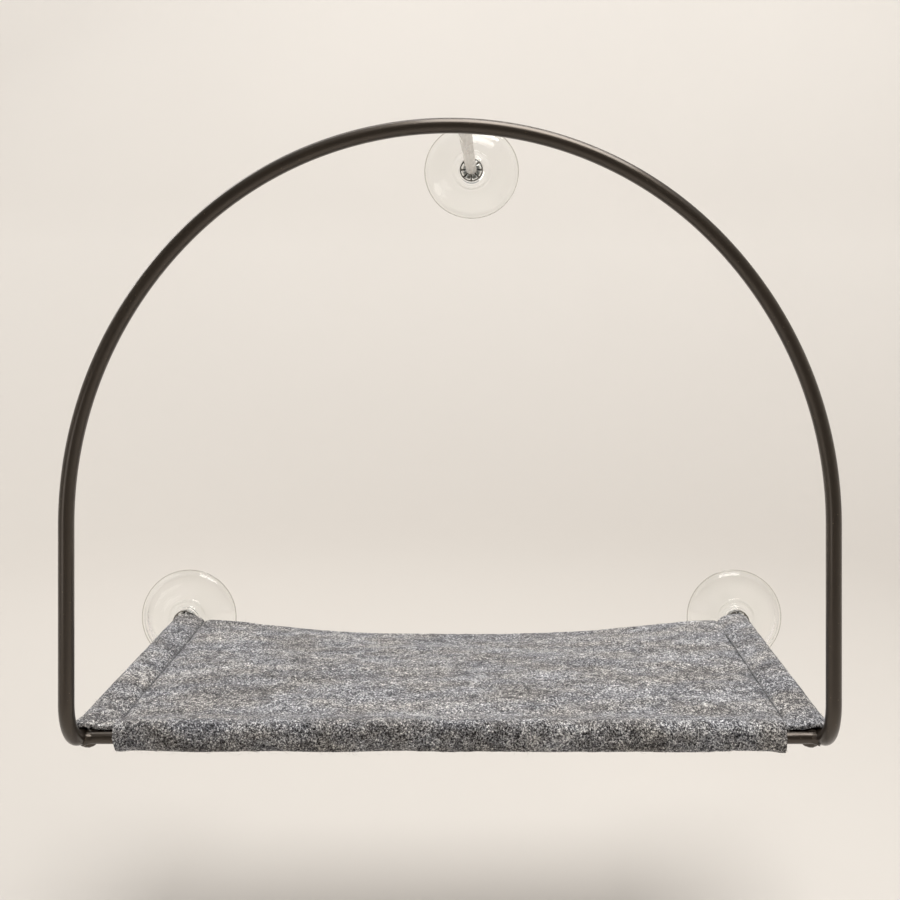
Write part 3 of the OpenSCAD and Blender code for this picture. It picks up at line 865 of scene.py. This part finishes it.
nut_plastic = Finish("clear nylon", {"IOR": 1.5, "Transmission Weight": 1.0,
                                     "Specular IOR Level": 0.6})
nut_haze = nut_plastic.ramp(nut_plastic.grain(0.003, 3.0), 0.35, 0.65)
depth_in_nut = nut_plastic.node("ShaderNodeSeparateXYZ", {}, {"Vector": nut_plastic.place()}, "Y")
# Painted shade: nylon within about a millimetre of the front is painted near-black, and the petal floors
# deeper in stay clear.
in_petal = nut_plastic.ramp(depth_in_nut, nut_low.y + 0.0004, nut_low.y + 0.0018)
nut_plastic.varies(
    Base_Color=nut_plastic.mix(in_petal, rgb(44, 41, 37),
                               nut_plastic.mix(nut_haze, rgb(250, 250, 248), rgb(238, 238, 236))),
    Roughness=0.03 + 0.08 * nut_haze,
    Normal=nut_plastic.relief(nut_plastic.grain(0.0012, 2.0), 0.00005, 0.5))
for place in ("left", "right", "top"):
    axis = middle(f"{place}_cup")
    body = f"{place}_suction"
    skin = [(-height, radius) for height, radius in cup_profile()]
    piece(f"{place}_cup_skin", turned([(-hollow_h, 0.0005)] + skin, axis, 144), pvc, body,
          [f"{place}_cup"])
    stud_low, stud_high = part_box(f"{place}_stud")
    disc = turned([(stud_high.y, 0.0004), (stud_high.y, 0.0071), (stud_high.y - 0.0004, 0.0075),
                   (stud_high.y - 0.0011, 0.0075), (stud_high.y - 0.0015, 0.0071),
                   (stud_high.y - 0.0015, 0.0028), (stud_high.y - 0.0019, 0.0024)], axis, 96)
    thread_skin = threaded(axis.x, axis.z, stud_low.y, stud_high.y - 0.0012)
    piece(f"{place}_bolt", together([disc, thread_skin]), zinc, body,
          [f"{place}_stud"])
    piece(f"{place}_nut_skin", lock_nut(axis), nut_plastic, f"{place}_nut",
          [f"{place}_lock_nut"], 50)


# ---------------------------------------------------------------- room
# A plain, pale, warm studio: one bowl whose floor runs up into its wall. Its paper carries painted shade:
# darker on the floor and a dull grey on the camera's side. A large soft light overhead leads, with gentle
# ones from the left rear and low on the left, and one on the wall.
room = bpy.data.meshes.new("room")
bowl_r = 2.4
floor_z = -0.26
cove = 0.8
room_y = -0.15
room_sides = 96
bowl = [(0.001, floor_z)] + [(r, floor_z) for r in np.linspace(0.2, bowl_r - cove, 10)]
bowl += [(bowl_r - cove + cove * math.sin(a), floor_z + cove - cove * math.cos(a))
         for a in np.radians(np.linspace(6, 90, 15))]
bowl += [(bowl_r, 1.0), (bowl_r, 1.5), (bowl_r, 2.0)]
bowl_points = [(r * math.cos(a), r * math.sin(a) + room_y, z) for r, z in bowl
               for a in np.linspace(0, 2 * math.pi, room_sides, endpoint=False)]
room.from_pydata(bowl_points, [], [
    (k + i, k + (i + 1) % room_sides, k + room_sides + (i + 1) % room_sides, k + room_sides + i)
    for k in range(0, (len(bowl) - 1) * room_sides, room_sides) for i in range(room_sides)])
room.shade_smooth()
paper = Finish("studio paper", {"Roughness": 0.9, "Specular IOR Level": 0.1})
depth_in_room, height_in_room = [
    paper.node("ShaderNodeSeparateXYZ", {}, {"Vector": paper.place()}, way) for way in ("Y", "Z")]
wall_paper = paper.mix(paper.grain(0.5, 2.0), rgb(229, 226, 222), rgb(225, 222, 218))
# Painted shade: the floor and the foot of the wall are painted darker than the wall above, darker towards
# the floor.
paper_with_painted_floor_shade = paper.mix(paper.ramp(height_in_room, floor_z + 0.02, 0.4), rgb(207, 203, 198),
                      wall_paper)
# Painted shade: the bowl on the camera's side, towards -Y, is painted a dull grey that keeps that side of
# the room dim.
paper.varies(Base_Color=paper.mix(paper.ramp(depth_in_room, -2.1, -0.8), rgb(150, 147, 143),
                                  paper_with_painted_floor_shade))
room.materials.append(paper.material)
backdrop = bpy.data.objects.new("room", room)
bpy.context.scene.collection.objects.link(backdrop)

sky = bpy.data.worlds.new("soft sky")
sky.use_nodes = True
sky.node_tree.nodes["Background"].inputs["Color"].default_value = (1.0, 0.99, 0.975, 1.0)
sky.node_tree.nodes["Background"].inputs["Strength"].default_value = 0.40
bpy.context.scene.world = sky


def soft_light(name, place, aim, size, watts, colour):
    """A large square light at a place, turned towards its aim."""
    lamp = bpy.data.objects.new(name, bpy.data.lights.new(name, "AREA"))
    lamp.data.shape = "RECTANGLE"
    lamp.data.size, lamp.data.size_y = size
    lamp.data.energy = watts
    lamp.data.color = colour
    lamp.location = place
    lamp.rotation_euler = (Vector(aim) - Vector(place)).to_track_quat("-Z", "Y").to_euler()
    bpy.context.scene.collection.objects.link(lamp)


soft_light("overhead softbox", (0.34, -0.66, 1.5), (0.34, -0.66, 0), (1.0, 1.0), 25,
           (1.0, 0.98, 0.95))
soft_light("left rear light", (-1.5, 0.9, 1.3), (0, 0, 0.15), (0.9, 1.2), 10, (1.0, 0.98, 0.95))
soft_light("low left card", (-1.0, -1.35, -0.05), (0, -0.1, 0.1), (0.6, 0.5), 1.2,
           (1.0, 0.98, 0.95))
soft_light("wall light", (0, 0.5, 2.1), (0, 2.2, 0.55), (2.2, 0.6), 32, (1.0, 0.97, 0.94))
